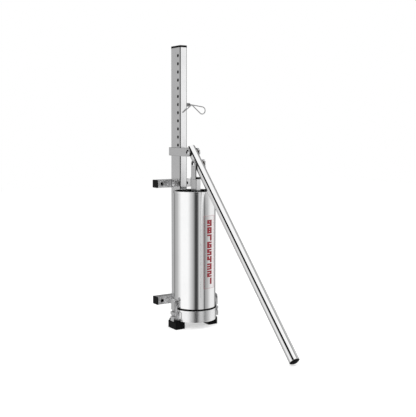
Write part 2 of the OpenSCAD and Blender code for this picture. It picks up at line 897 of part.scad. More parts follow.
// Spring wire: a leg across the post's front face, and a pull loop beyond the head
module pin_wire() {
    eye_x = pin_head_x + pin_head_l / 2;
    eye = [eye_x, peg_y, pin_z];
    apex = [eye_x, wire_y, pin_z];
    leg_end = [leg_x, wire_y, pin_z - leg_drop];
    droop = atan2(loop_drop, loop_l);
    loop_dist = norm([loop_l, loop_drop]);
    half = asin(loop_r / loop_dist);
    straight = loop_dist * cos(half);
    on_bench() color(dark_steel) {
        wire(eye, apex, wire_r);
        translate(apex) sphere(r = wire_r * wire_joint_share);
        wire(apex, leg_end, wire_r);
        translate(apex) rotate([0, 90 + droop, 0]) {
            for (side = [-1, 1]) rotate([0, side * half, 0]) {
                cylinder(h = straight, r = wire_r);
                translate([0, 0, straight]) sphere(r = wire_r * wire_joint_share);
            }
            translate([0, 0, loop_dist]) rotate([90, 0, 0]) rotate([0, 0, -half])
                rotate_extrude(angle = 180 + 2 * half)
                    translate([loop_r, 0]) circle(r = wire_r, $fn = 24);
        }
    }
}

post();
post_caps();
upper_wall_bar();
lower_wall_bar();
wall_bar_caps();
upper_post_clamp();
lower_post_clamp();
clamp_bolts();
barrel();
barrel_rim();
barrel_pads();
barrel_seal();
die_ring();
die_plate();
left_catch();
right_catch();
left_foot();
right_foot();
foot_screws();
scale_plate();
left_latch_base();
right_latch_base();
latch_pins();
collar_strap();
collar_liners();
collar_bridge();
fulcrum_bolt();
fulcrum_nut();
lever_tube();
lever_caps();
lever_bushes();
fork();
push_rod();
rod_foot();
link_bolt();
link_nut();
plunger_disc();
plunger_hub();
plunger_pin();
plunger_screws();
lock_pin();
pin_wire();
left_latch_lever();
right_latch_lever();
left_latch_bail();
right_latch_bail();
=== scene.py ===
import math

import bmesh
import bpy
from mathutils import Matrix, Vector


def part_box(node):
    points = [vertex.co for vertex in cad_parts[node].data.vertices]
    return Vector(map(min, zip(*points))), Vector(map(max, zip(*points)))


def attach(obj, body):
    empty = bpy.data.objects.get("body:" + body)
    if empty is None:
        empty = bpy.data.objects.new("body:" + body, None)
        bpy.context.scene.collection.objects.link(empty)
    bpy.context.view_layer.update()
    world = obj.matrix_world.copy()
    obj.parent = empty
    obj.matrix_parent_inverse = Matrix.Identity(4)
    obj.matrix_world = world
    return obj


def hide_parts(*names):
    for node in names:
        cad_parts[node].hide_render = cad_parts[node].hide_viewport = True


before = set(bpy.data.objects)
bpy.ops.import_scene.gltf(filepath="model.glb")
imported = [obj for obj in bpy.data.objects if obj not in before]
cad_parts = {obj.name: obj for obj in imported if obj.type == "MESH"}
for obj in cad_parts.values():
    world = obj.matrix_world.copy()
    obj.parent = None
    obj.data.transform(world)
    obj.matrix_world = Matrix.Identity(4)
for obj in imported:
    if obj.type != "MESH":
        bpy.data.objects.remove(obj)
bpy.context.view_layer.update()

# ---------------------------------------------------------------------------
# Camera. It stands where the photographer stood: 33 degrees to the press's
# left, 1.9 m away and a little above the fulcrum. It looks down 3 degrees
# and its lens is shifted to frame the press as the photograph does.
def placed(name, data):
    """A new object with this data, linked into the scene."""
    made = bpy.data.objects.new(name, data)
    bpy.context.scene.collection.objects.link(made)
    return made


camera_yaw = math.radians(32.674)
camera_pitch = math.radians(3.253)
camera_roll = math.radians(0.075)
sight = Vector((math.sin(camera_yaw) * math.cos(camera_pitch),
                math.cos(camera_yaw) * math.cos(camera_pitch),
                -math.sin(camera_pitch)))
lens = bpy.data.cameras.new("photo_camera")
lens.sensor_width = 36
lens.lens = 66.30
lens.shift_y = -0.09
lens.clip_end = 50
camera = placed("photo_camera", lens)
camera.rotation_mode = "QUATERNION"
camera.rotation_quaternion = (sight.to_track_quat("-Z", "Y").to_matrix().to_4x4()
                              @ Matrix.Rotation(camera_roll, 4, "Z")).to_quaternion()
camera.location = (-0.9834, -1.7162, 0.2920)
bpy.context.scene.camera = camera
bpy.context.scene.view_settings.view_transform = "Standard"


# ---------------------------------------------------------------------------
# Studio. A seamless white paper floor under the feet, a white room, and the
# grey and black cards that a photographer of polished steel stands around it:
# they are seen only in the steel, as a ramp over the compass directions.
def add(tree, kind, inputs=None, **settings):
    """Add a shader node; an input may be a number, a colour or another socket."""
    made = tree.nodes.new(kind)
    for key, value in settings.items():
        setattr(made, key, value)
    for key, value in (inputs or {}).items():
        if isinstance(value, bpy.types.NodeSocket):
            tree.links.new(value, made.inputs[key])
        else:
            made.inputs[key].default_value = value
    return made


def ramp(tree, factor, stops):
    """A colour ramp through (place, grey or colour) stops."""
    made = add(tree, "ShaderNodeValToRGB", {"Fac": factor})
    band = made.color_ramp
    while len(band.elements) < len(stops):
        band.elements.new(0.5)
    for element, (place, value) in zip(band.elements, stops):
        element.position = place
        tone = value if isinstance(value, tuple) else (value,) * 3
        element.color = (*tone, 1)
    return made.outputs["Color"]


def maths(tree, operation, *values):
    """One operation over sockets or numbers."""
    return add(tree, "ShaderNodeMath", dict(enumerate(values)), operation=operation).outputs[0]


def mixed(tree, factor, a, b, blend="MIX"):
    """Colour b laid over colour a by a factor."""
    return add(tree, "ShaderNodeMix", {"Factor": factor, "A": a, "B": b}, data_type="RGBA",
               blend_type=blend).outputs["Result"]


def scaled(tree, value, low, high, to_low=0.0, to_high=1.0, **settings):
    """The value's range from low to high mapped onto another range, and held inside it."""
    return add(tree, "ShaderNodeMapRange", {"Value": value, "From Min": low, "From Max": high,
                                            "To Min": to_low, "To Max": to_high}, **settings).outputs[0]


floor_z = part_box("left_foot")[0].z
paper = bpy.data.meshes.new("paper_floor")
paper_half = 4.0
paper.from_pydata([(x * paper_half, y * paper_half, floor_z)
                   for x, y in ((-1, -1), (1, -1), (1, 1), (-1, 1))], [], [(0, 1, 2, 3)])
floor = placed("paper_floor", paper)
white_paper = bpy.data.materials.new("white_paper")
white_paper.use_nodes = True
tree = white_paper.node_tree
tree.nodes.clear()
ray = add(tree, "ShaderNodeLightPath")
fibre = add(tree, "ShaderNodeTexNoise", {"Scale": 900.0, "Detail": 3.0})
tone = ramp(tree, fibre.outputs["Fac"], [(0.3, 0.89), (0.7, 0.91)])
matte = add(tree, "ShaderNodeBsdfDiffuse", {"Color": tone})
glow = add(tree, "ShaderNodeEmission", {"Color": (1, 1, 1, 1), "Strength": 2.4})
glow_share = maths(tree, "MULTIPLY", ray.outputs["Is Camera Ray"], 0.2)
paper_white = add(tree, "ShaderNodeMixShader", {"Fac": glow_share, 1: matte.outputs[0],
                                                2: glow.outputs[0]})
add(tree, "ShaderNodeOutputMaterial", {"Surface": paper_white.outputs[0]})
paper.materials.append(white_paper)
floor.visible_glossy = False

room = bpy.data.worlds.new("white_room")
bpy.context.scene.world = room
room.use_nodes = True
tree = room.node_tree
tree.nodes.clear()
ray = add(tree, "ShaderNodeLightPath")
way = add(tree, "ShaderNodeSeparateXYZ", {0: add(tree, "ShaderNodeTexCoord").outputs["Generated"]})
turn = maths(tree, "ARCTAN2", way.outputs["Y"], way.outputs["X"])
# 0.5 is the side that the camera stands on; larger is to its right.
camera_side = math.atan2(-sight.y, -sight.x)
compass = maths(tree, "FRACT", maths(tree, "MULTIPLY_ADD", turn, 1 / math.tau,
                                     0.5 - camera_side / math.tau))
cards = [(-180, 0.30), (-160, 0.16), (-146, 0.30), (-134, 0.42), (-122, 0.46), (-111, 0.48),
         (-101, 0.66), (-88, 0.84), (-78, 1.0), (-38, 1.0), (-30, 0.88), (-24, 0.74), (-13, 0.54),
         (-7, 0.42), (-1.5, 0.25), (3, 0.06), (15.5, 0.05), (21, 0.32), (26, 0.64), (44, 0.62),
         (51, 0.50), (61, 0.92), (66, 1.0), (100, 0.90), (135, 0.88), (148, 0.28), (162, 0.20),
         (180, 0.30)]
studio = ramp(tree, compass, [(0.5 + angle / 360, tone) for angle, tone in cards])
# A low black card stands to the right. A strip hangs under the white ceiling, black on
# the left and grey on the right.
low_card_stops = [(50, 0.0), (55, 0.86), (59, 0.80), (63, 0.62), (73, 0.56), (79, 0.45), (86, 0.27),
                  (94, 0.12), (101, 0.0)]
card_turn = ramp(tree, compass, [(0.5 + angle / 360, share) for angle, share in low_card_stops])
height = way.outputs["Z"]
card_top = ramp(tree, scaled(tree, height, -0.1, 0.1), [(0.05, 1.0), (0.20, 0.0)])
carded = mixed(tree, maths(tree, "MULTIPLY", card_turn, card_top), studio, (0.02, 0.02, 0.02, 1))
strip_left = ramp(tree, height, [(0.12, 1.0), (0.20, 0.80), (0.41, 0.70), (0.46, 0.52), (0.48, 0.0),
                                 (0.785, 0.0), (0.795, 0.9)])
strip_right = ramp(tree, height, [(0.12, 1.0), (0.20, 0.80), (0.48, 0.68), (0.60, 0.42), (0.76, 0.40),
                                  (0.80, 0.9)])
strip_side = ramp(tree, compass, [(0.5, 0.0), (0.55, 1.0)])
shaded = mixed(tree, 1.0, carded, mixed(tree, strip_side, strip_left, strip_right), "MULTIPLY")
overhead = scaled(tree, height, 0.785, 0.80, interpolation_type="SMOOTHSTEP")
white, plain_level = (1, 1, 1, 1), 0.72
lit = mixed(tree, ray.outputs["Is Glossy Ray"], (plain_level, plain_level, plain_level, 1),
            mixed(tree, overhead, shaded, white))
seen = mixed(tree, ray.outputs["Is Camera Ray"], lit, white)
sky = add(tree, "ShaderNodeBackground", {"Color": seen, "Strength": 1.0})
add(tree, "ShaderNodeOutputWorld", {"Surface": sky.outputs[0]})

for lamp_name, place, size, power in (("left_softbox", (-1.5, -1.4, 1.5), 1.6, 26),
                                      ("right_softbox", (1.7, -0.9, 1.3), 1.4, 12)):
    softbox = bpy.data.lights.new(lamp_name, "AREA")
    softbox.shape = "DISK"
    softbox.size = size
    softbox.energy = power
    lamp = placed(lamp_name, softbox)
    lamp.location = place
    lamp.rotation_mode = "QUATERNION"
    lamp.rotation_quaternion = (-Vector(place)).to_track_quat("-Z", "Y")
    lamp.visible_glossy = False
    lamp.visible_camera = False


# ---------------------------------------------------------------------------
# Post. A 20 by 45 mm stainless tube, brushed along its length, with twelve
# deburred peg holes in its sides and a bolt hole at each wall bar. The lock
# pin has rubbed a dull ring round each peg hole.
axis_y = sum(corner.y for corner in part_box("barrel")) / 2
# Pieces are drawn in millimetres from the barrel's axis and the floor.
bench = Matrix.Translation((0, axis_y, floor_z)) @ Matrix.Scale(0.001, 4)


def eased(points, radius, closed=True, steps=4):
    """Round the corners of a run of points, by one radius or one for each point."""
    points = [Vector(p) for p in points]
    radii = radius if isinstance(radius, (list, tuple)) else [radius] * len(points)
    run = []
    for i, p in enumerate(points):
        if radii[i] <= 0 or (not closed and i in (0, len(points) - 1)):
            run.append(p)
            continue
        a, b = points[i - 1] - p, points[(i + 1) % len(points)] - p
        half = a.angle(b) / 2
        reach = min(radii[i] / math.tan(half), 0.49 * a.length, 0.49 * b.length)
        start, end = p + a.normalized() * reach, p + b.normalized() * reach
        centre = p + (a.normalized() + b.normalized()).normalized() * (reach / math.cos(half))
        u, v = start - centre, end - centre
        sweep = u.angle(v)
        run += [centre + (u * math.sin((1 - k / steps) * sweep) + v * math.sin(k / steps * sweep))
                / math.sin(sweep) for k in range(steps + 1)]
    return run


def mesh_of(bm):
    """The bmesh as a mesh."""
    mesh = bpy.data.meshes.new("blank")
    bm.to_mesh(mesh)
    bm.free()
    return mesh


def skinned(rings, loop=False):
    """Skin equal rings of points. A loop joins the last to the first, otherwise both are closed."""
    bm = bmesh.new()
    rows = [[bm.verts.new(p) for p in ring] for ring in rings]
    for a, b in list(zip(rows, rows[1:])) + ([(rows[-1], rows[0])] if loop else []):
        for i, j in zip(range(len(a)), list(range(1, len(a))) + [0]):
            bm.faces.new((a[i], a[j], b[j], b[i]))
    if not loop:
        bm.faces.new(rows[0])
        bm.faces.new(rows[-1])
    bmesh.ops.remove_doubles(bm, verts=bm.verts, dist=1e-4)
    bmesh.ops.dissolve_degenerate(bm, edges=bm.edges, dist=1e-4)
    bmesh.ops.recalc_face_normals(bm, faces=bm.faces)
    return mesh_of(bm)


def box_outline(width, depth, corner):
    """Outline of a rectangular tube; its argument is how far inside the face it runs."""
    def outline(inset):
        x, y = width / 2 - inset, depth / 2 - inset
        return eased([(x, y), (-x, y), (-x, -y), (x, -y)], max(corner - inset, 0.05))
    return outline


def round_outline(radius, sides):
    """Outline of a round or many sided bar."""
    def outline(inset):
        return [((radius - inset) * math.cos(math.tau * k / sides),
                 (radius - inset) * math.sin(math.tau * k / sides)) for k in range(sides)]
    return outline


def drawn(outline, profile, loop=False):
    """Run an outline up a profile of (inset, height) points."""
    return skinned([[(*p, height) for p in outline(inset)] for inset, height in profile], loop)


def prism(radius, sides, profile, loop=False):
    """A round or many sided bar up a profile of (inset, height) points."""
    return drawn(round_outline(radius, sides), profile, loop)


def turned(profile, sides, loop=False):
    """Turn a profile of (radius, height) points round the Z axis."""
    return prism(0, sides, [(-r, z) for r, z in profile], loop)


def tube(outline, wall, low, high, edge=0.3):
    """A tube with this outside, with its cut ends deburred."""
    return drawn(outline, eased([(0, low), (0, high), (wall, high), (wall, low)], edge, steps=2), True)


def joined(*meshes):
    """One mesh that holds all of these."""
    bm = bmesh.new()
    for mesh in meshes:
        bm.from_mesh(mesh)
    return mesh_of(bm)


def moved(mesh, matrix):
    """A moved copy of a mesh, turned right side out if it is mirrored."""
    copy = mesh.copy()
    copy.transform(matrix)
    if matrix.determinant() < 0:
        copy.flip_normals()
    return copy


def worked(mesh, kind, **settings):
    """The mesh after one modifier."""
    blank = placed("blank", mesh)
    modifier = blank.modifiers.new(kind, kind)
    for key, value in settings.items():
        setattr(modifier, key, value)
    graph = bpy.context.evaluated_depsgraph_get()
    result = bpy.data.meshes.new_from_object(blank.evaluated_get(graph))
    bpy.data.objects.remove(blank)
    return result


def cut(mesh, tool, operation="DIFFERENCE"):
    """The mesh without the tool's volume, or with only what both share."""
    cutter = placed("cutter", tool)
    result = worked(mesh, "BOOLEAN", object=cutter, operation=operation, solver="EXACT")
    bpy.data.objects.remove(cutter)
    return result


at = Matrix.Translation
along_x = Matrix.Rotation(math.pi / 2, 4, "Y")
along_y = Matrix.Rotation(-math.pi / 2, 4, "X")
leftward = Matrix.Rotation(-math.pi / 2, 4, "Y")


def drill(radius, half_length, burr=0.4, sides=32):
    """A drill for a wall whose faces are half_length from its middle, with a deburring cone."""
    return prism(radius, sides, [
        (-burr - 1, -half_length - 1), (0, -half_length + burr), (0, half_length - burr),
        (-burr - 1, half_length + 1)])


def stand(name, mesh, finish, body, slot, *nodes):
    """Put a piece drawn on the bench into the frame, where it stands for its CAD nodes."""
    mesh = moved(mesh, bench)
    mesh.name = name
    mesh.materials.clear()
    mesh.materials.append(finish)
    for face in mesh.polygons:
        face.use_smooth = True
    mesh.set_sharp_from_angle(angle=math.radians(40))
    piece = placed(name, mesh)
    level = piece.modifiers.new("even_normals", "WEIGHTED_NORMAL")
    level.keep_sharp = True
    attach(piece, body)
    if nodes:
        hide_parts(*nodes)


def principled(name):
    """A new material: its tree, its shader and its object coordinates."""
    finish = bpy.data.materials.new(name)
    finish.use_nodes = True
    tree = finish.node_tree
    shader = tree.nodes["Principled BSDF"]
    return finish, tree, shader, add(tree, "ShaderNodeTexCoord").outputs["Object"]


def noise(tree, here, scale, detail, **more):
    """A noise's grey value."""
    return add(tree, "ShaderNodeTexNoise", {"Vector": here, "Scale": scale, "Detail": detail,
                                            **more}).outputs["Fac"]


def feed(tree, shader, colour, roughness, relief, depth):
    """Link a colour, a roughness and a fine relief into the shader."""
    bump = add(tree, "ShaderNodeBump", {"Strength": depth, "Distance": 0.0002, "Height": relief})
    for key, socket in (("Base Color", colour), ("Roughness", roughness), ("Normal", bump.outputs[0])):
        tree.links.new(socket, shader.inputs[key])


def steel(name, tone, rough, grain_depth, lean=0.0, across=1400.0, along=14.0, wear=0.5,
          marks=None, painted_shade=None):
    """Stainless steel with a grain along the tube, handling marks, hairlines and optional painted shade."""
    finish, tree, shader, here = principled(name)
    shader.inputs["Metallic"].default_value = 1.0
    grain_way, hair_way = (
        add(tree, "ShaderNodeMapping", {"Vector": here, "Rotation": (lean, *tilt),
                                        "Scale": (across * wide, across * wide, along * long)}).outputs[0]
        for tilt, wide, long in (((0, 0), 1, 1), ((0.12, 0.3), 0.6, 1.6)))
    grain = noise(tree, grain_way, 1.0, 4.0, Roughness=0.6)
    hand = noise(tree, here, 28.0, 5.0, Roughness=0.62, Distortion=0.6)
    hairlines = ramp(tree, noise(tree, hair_way, 1.0, 2.0), [(0.70, 0.0), (0.73, 1.0)])
    marks_here = ramp(tree, hand, [(0.42, 0.0), (0.72, 1.0)])
    if marks:
        marks_here = maths(tree, "MAXIMUM", marks_here, marks(tree, here))
    worn_tone, scored_tone = ((*(c * (1 - loss * wear) for c in tone), 1) for loss in (0.10, 0.16))
    base = mixed(tree, hairlines, mixed(tree, marks_here, (*tone, 1), worn_tone), scored_tone)
    # Painted shade: where a mask is given, it darkens the colour towards near black.
    if painted_shade:
        base = mixed(tree, painted_shade(tree, here), base, (0.035, 0.034, 0.033, 1))
    low, high = rough
    dull = maths(tree, "MULTIPLY_ADD", marks_here, (high - low) * wear + 0.01,
                 scaled(tree, grain, 0.3, 0.7, low, high))
    feed(tree, shader, base, dull, grain, grain_depth)
    return finish


peg_y, peg_low, peg_pitch, peg_count = 63.8, 442.5, 20.2, 12
bar_heights = (46, 344)
clamp_y = 83.22
wall_t = 2
post_w, post_d, post_low, post_top = 20, 45, 28, 685
post_middle = Vector((0, 75.6, 0))


def away(tree, here, axis, middle, reach, soft=0.12):
    """1 farther than reach millimetres from a middle on the bench, along one axis; 0 nearer."""
    place = add(tree, "ShaderNodeSeparateXYZ", {0: here}).outputs[axis]
    offset = {"X": 0.0, "Y": axis_y, "Z": floor_z}[axis] + middle / 1000
    size = maths(tree, "ABSOLUTE", maths(tree, "SUBTRACT", place, offset))
    return scaled(tree, size, (reach - soft) / 1000, (reach + soft) / 1000)


def near(tree, here, axis, middle, reach):
    """1 nearer than reach millimetres to a middle; 0 farther."""
    return maths(tree, "SUBTRACT", 1.0, away(tree, here, axis, middle, reach))


def corners(middle, half, strength=0.72):
    """Painted shade along the drawn corners of a rectangular tube."""
    def painted_shade(tree, here):
        sides = [away(tree, here, axis, middle[i], half[i]) for i, axis in enumerate("XY")]
        return maths(tree, "MULTIPLY", maths(tree, "MULTIPLY", *sides), strength)
    return painted_shade


def peg_distance(tree, here):
    """Distance from the nearest peg hole's axis, in metres; large beyond the end holes."""
    place = add(tree, "ShaderNodeSeparateXYZ", {0: here})
    step = maths(tree, "SUBTRACT", place.outputs["Z"], floor_z + (peg_low - peg_pitch / 2) / 1000)
    up = maths(tree, "SUBTRACT", maths(tree, "FLOORED_MODULO", step, peg_pitch / 1000), peg_pitch / 2000)
    out = maths(tree, "SUBTRACT", place.outputs["Y"], axis_y + peg_y / 1000)
    offset = add(tree, "ShaderNodeCombineXYZ", {0: up, 1: out})
    distance = add(tree, "ShaderNodeVectorMath", {0: offset.outputs[0]}, operation="LENGTH")
    beyond = maths(tree, "ADD", maths(tree, "LESS_THAN", step, 0.0),
                   maths(tree, "GREATER_THAN", step, peg_count * peg_pitch / 1000))
    return maths(tree, "ADD", distance.outputs["Value"], beyond)


def peg_rings(tree, here):
    """Dull rings that the lock pin has rubbed round the peg holes."""
    inner, outer, rubbed = 0.0038, 0.0062, 0.9
    return scaled(tree, peg_distance(tree, here), inner, outer, rubbed, 0.0)


def post_painted_shade(tree, here):
    """Painted shade along the drawn corners, inside the tube and in its peg holes."""
    within = maths(tree, "MULTIPLY", near(tree, here, "X", 0, 8.6),
                   near(tree, here, "Y", post_middle.y, 21.1))
    hole = maths(tree, "LESS_THAN", peg_distance(tree, here), 0.0042)
    dark = maths(tree, "MAXIMUM", corners((0, post_middle.y), (8.0, 20.5), 0.92)(tree, here), within)
    return maths(tree, "MAXIMUM", dark, hole)


post_steel = steel("post_steel", (0.90, 0.90, 0.905), (0.11, 0.17), 0.02, marks=peg_rings, painted_shade=post_painted_shade)
peg_hole_r, clamp_hole_r = 3.5, 3.2
drills = [moved(drill(peg_hole_r, post_w / 2, 0.2), at((0, peg_y, peg_low + i * peg_pitch)) @ along_x)
          for i in range(peg_count)]
drills += [moved(drill(clamp_hole_r, post_w / 2), at((0, clamp_y, z)) @ along_x) for z in bar_heights]
post_tube = moved(tube(box_outline(post_w, post_d, 2), wall_t, post_low, post_top), at(post_middle))
stand("post_tube", cut(post_tube, joined(*drills)), post_steel, "frame", "polished_steel", "post")


# ---------------------------------------------------------------------------
# Post caps. Black plastic caps pressed into both ends of the post, with a
# slightly crowned lid that overlaps the tube's wall and a plain plug.
def plastic(name, tone, rough, pebble=2600.0, depth=0.12):
    """Moulded plastic or rubber with a fine pebble, dust and faintly greyed wear."""
    finish, tree, shader, here = principled(name)
    shader.inputs["IOR"].default_value = 1.5
    shader.inputs["Specular IOR Level"].default_value = 0.08
    dust = noise(tree, here, 90.0, 6.0, Roughness=0.7)
    greyed = ramp(tree, dust, [(0.35, tone), (0.62, tuple(c * 1.1 + 0.001 for c in tone)),
                               (0.8, tuple(c * 1.3 + 0.006 for c in tone))])
    feed(tree, shader, greyed, scaled(tree, dust, 0.3, 0.7, rough - 0.06, rough + 0.08),
         noise(tree, here, pebble, 2.0), depth)
    return finish


def end_cap(width, depth, corner, lid, plug, plug_long):
    """Lid from height 0 up, plug below, for a tube whose end is at height 0."""
    crown = drawn(box_outline(width, depth, corner), [
        (0.15, 0), (0, 0.2), (0, lid - 0.9), (0.18, lid - 0.45), (0.6, lid - 0.12), (1.4, lid)])
    stem = drawn(box_outline(*plug, 1.0), [(0.5, -plug_long), (0, -plug_long + 1), (0, 0.1)])
    return joined(crown, stem)


black_plastic = plastic("black_plastic", (0.0025, 0.0025, 0.0028), 0.42)
post_cap = end_cap(20.6, 45.6, corner=2.0, lid=5, plug=(15.8, 40.8), plug_long=6)
stand("post_caps_moulded",
      joined(moved(post_cap, at(post_middle + Vector((0, 0, post_top)))),
             moved(post_cap, at(post_middle + Vector((0, 0, post_low))) @ Matrix.Rotation(math.pi, 4, "X"))),
      black_plastic, "frame", "black_plastic", "post_caps")


# ---------------------------------------------------------------------------
# Wall bars. Two lengths of 20 by 25 mm stainless tube across the back of the
# post, each drilled right through for two wall bolts, with a black plastic
# cap pressed into each end.
bar_steel = steel("bar_steel", (0.86, 0.86, 0.865), (0.20, 0.28), 0.03, along=1400.0)
bar_middle_y, bar_w, bar_d, bar_half = 110.6, 20, 25, 48
wall_hole_r, wall_hole_x = 4.5, 36
bar_tube = tube(box_outline(bar_w, bar_d, 2), wall_t, -bar_half, bar_half)
bar_cap = end_cap(bar_w, bar_d, corner=2.0, lid=2.5, plug=(15.8, 20.8), plug_long=6)
caps = []
for bar_name, z in zip(("lower_wall_bar", "upper_wall_bar"), bar_heights):
    middle = at((0, bar_middle_y, z))
    wall_drills = joined(*(moved(drill(wall_hole_r, bar_d / 2), middle @ at((x, 0, 0)) @ along_y)
                           for x in (-wall_hole_x, wall_hole_x)))
    stand(bar_name + "_tube", cut(moved(bar_tube, middle @ along_x), wall_drills),
          bar_steel, "frame", "polished_steel", bar_name)
    caps += [moved(bar_cap, middle @ Matrix.Rotation(turn * math.pi, 4, "Z") @ at((bar_half, 0, 0)) @ along_x)
             for turn in (0, 1)]
stand("wall_bar_caps_moulded", joined(*caps), black_plastic, "frame", "black_plastic", "wall_bar_caps")


# ---------------------------------------------------------------------------
# Post clamps. Two sheared steel ears are welded to the front of each wall bar,
# with a rippled bead down each, and straddle the post. One button head bolt
# with a hexagon nut goes through both ears and the post.
def spokes(side, other, count):
    """Even directions round a section, from two directions across it."""
    return [side * math.cos(math.tau * k / count) + other * math.sin(math.tau * k / count)
            for k in range(count)]


def bead(start, end, radius, ripple=1.1):
    """A weld bead: a low round seam with the ripples of its passes."""
    start, end = Vector(start), Vector(end)
    way = (end - start).normalized()
    side = way.orthogonal().normalized()
    other = way.cross(side)
    count = max(6, int((end - start).length / ripple * 4))
    rings = []
    for k in range(count + 1):
        t = k / count
        taper = math.sqrt(max(0.02, 1 - abs(2 * t - 1) ** 6))
        size = radius * taper * (1 + 0.09 * math.sin(k * math.pi / 2))
        rings.append([start.lerp(end, t) + spoke * size for spoke in spokes(side, other, 10)])
    return skinned(rings)


def button_bolt(under_head, end, shank, head, head_high, socket):
    """Button head bolt along X with a hexagon socket; its head is on the -X side."""
    long = end - under_head
    profile = eased([(0, 0), (shank, 0), (shank, long), (head, long), (head, long + head_high * 0.3),
                     (head * 0.62, long + head_high), (0, long + head_high)],
                    [0, 0.4, 0, 0.2, head_high * 0.5, head_high * 0.3, 0], closed=False)
    key = prism(socket, 6, [(0, long + head_high * 0.4), (0, long + head_high - 0.3),
                            (-0.8, long + head_high + 0.5)])
    return moved(cut(turned(profile, 40), key), at((end, 0, 0)) @ leftward)


def hex_nut(low, high, radius, bore):
    """Chamfered hexagon nut along Z, from low to high."""
    blank = prism(radius, 6, [(0, low), (0, high)])
    chamfer = prism(radius, 48, [(1.1, low - 0.05), (0, low + 0.6), (0, high - 0.6), (1.1, high + 0.05)])
    body = cut(blank, chamfer, "INTERSECT")
    thread = prism(bore, 32, [(0, low - 1), (0, high - 0.5), (-1.4, high + 1)])
    return cut(body, thread)


clamp_steel = steel("clamp_steel", (0.78, 0.78, 0.785), (0.20, 0.30), 0.04)
bright_steel = steel("bright_fastener", (0.78, 0.78, 0.79), (0.12, 0.20), 0.02, across=500.0, along=500.0)
ear_t, ear_left, ear_right, ear_seam_y, ear_seam_half = 3, -13.1, 10.1, 97.6, 9.2
ear_outline = eased([(98.1, 10), (74.1, 10), (74.1, -10), (98.1, -10)], [0.4, 4.5, 4.5, 0.4])


def ear_edge(x, z, depth, burr=0.35, middle=86.1):
    """An ear's outline at a depth in its plate, drawn in by the burr's width at both faces."""
    small = burr * (depth in (0, ear_t))
    return [(x + depth, middle + (p.x - middle) * (1 - small / 12), z + p.y * (1 - small / 10))
            for p in ear_outline]


for clamp_name, z in zip(("lower_post_clamp", "upper_post_clamp"), bar_heights):
    ears, seams = [], []
    for x in (ear_left, ear_right):
        plate = skinned([ear_edge(x, z, depth) for depth in (0, 0.35, 2.65, ear_t)])
        bolt_hole = moved(drill(clamp_hole_r, ear_t / 2, 0.25), at((x + ear_t / 2, clamp_y, z)) @ along_x)
        ears.append(cut(plate, bolt_hole))
        seams += [bead((face, ear_seam_y, z - ear_seam_half), (face, ear_seam_y, z + ear_seam_half), 0.9)
                  for face in (x, x + ear_t)]
    stand(clamp_name + "_ears", joined(*ears), clamp_steel, "frame", "polished_steel", clamp_name)
    stand(clamp_name + "_welds", joined(*seams), clamp_steel, "frame", "polished_steel")
clamp_bolt = button_bolt(ear_left, end=16.4, shank=3, head=5.4, head_high=3.3, socket=1.8)
clamp_nut = moved(hex_nut(low=13.12, high=17.7, radius=5.4, bore=3.1), along_x)
stand("clamp_bolts_and_nuts",
      joined(*(moved(part, at((0, clamp_y, z))) for part in (clamp_bolt, clamp_nut) for z in bar_heights)),
      bright_steel, "frame", "bright_fastener", "clamp_bolts")


# ---------------------------------------------------------------------------
# Barrel. A 4 inch stainless tube, polished nearly to a mirror inside and out,
# with a rolled bead round its mouth. Two pads are welded between it and the
# post, and a black rubber seal lies under its lower edge.
barrel_r, barrel_low, barrel_high, painted_shade_band = 50.8, 49, 333, 1.1


def barrel_painted_shade(tree, here):
    """Painted shade: a dark line along the lower edge, where the barrel meets the seal."""
    height = add(tree, "ShaderNodeSeparateXYZ", {0: here}).outputs["Z"]
    low = maths(tree, "LESS_THAN", height, floor_z + (barrel_low + painted_shade_band) / 1000)
    return maths(tree, "MULTIPLY", low, 0.95)


barrel_steel = steel("barrel_steel", (0.955, 0.955, 0.957), (0.06, 0.10), 0.010, across=1800.0, along=9.0,
                     wear=0.25, painted_shade=barrel_painted_shade)
barrel_tube = tube(round_outline(barrel_r, 192), wall_t, barrel_low, barrel_high, 0.4)
stand("barrel_tube", barrel_tube, barrel_steel, "frame", "polished_steel", "barrel")
rolled_bead = turned(eased([(50.9, 327), (52.0, 327), (52.0, barrel_high), (50.9, barrel_high)],
                           [0.1, 0.9, 1.0, 0.1], steps=6), 192, True)
stand("barrel_mouth_bead", rolled_bead, barrel_steel, "frame", "polished_steel", "barrel_rim")


def softened(node, width, segments=2):
    """The CAD node's own shape, back on the bench, with its sharp edges rounded."""
    bm = bmesh.new()
    bm.from_mesh(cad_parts[node].data)
    bmesh.ops.transform(bm, matrix=bench.inverted(), verts=bm.verts)
    bmesh.ops.remove_doubles(bm, verts=bm.verts, dist=1e-3)
    bmesh.ops.dissolve_limit(bm, angle_limit=math.radians(1), verts=bm.verts, edges=bm.edges)
    bmesh.ops.recalc_face_normals(bm, faces=bm.faces)
    return worked(mesh_of(bm), "BEVEL", width=width, segments=segments, limit_method="ANGLE",
                  angle_limit=math.radians(30), miter_outer="MITER_ARC")


stand("barrel_pads_welded", softened("barrel_pads", 0.4), clamp_steel, "frame", "polished_steel",
      "barrel_pads")
pad_heights, seam_half, seam_x, seam_y = (96.333, 285.667), 19.4, 8.1, 50.9
stand("pad_welds", joined(*(bead((x, seam_y, z - seam_half), (x, seam_y, z + seam_half), 1.1)
                            for z in pad_heights for x in (-seam_x, seam_x))),
      clamp_steel, "frame", "polished_steel")

black_rubber = plastic("black_rubber", (0.0025, 0.0025, 0.0025), 0.6, 3200.0, 0.08)
ring_top = 46.2
seal_lip = turned(eased([(48.8, ring_top), (52.8, ring_top), (52.8, barrel_low), (48.8, barrel_low)],
                        [0.1, 0.9, 0.9, 0.1]), 160, True)
stand("barrel_seal_lip", seal_lip, black_rubber, "frame", "black_rubber", "barrel_seal")


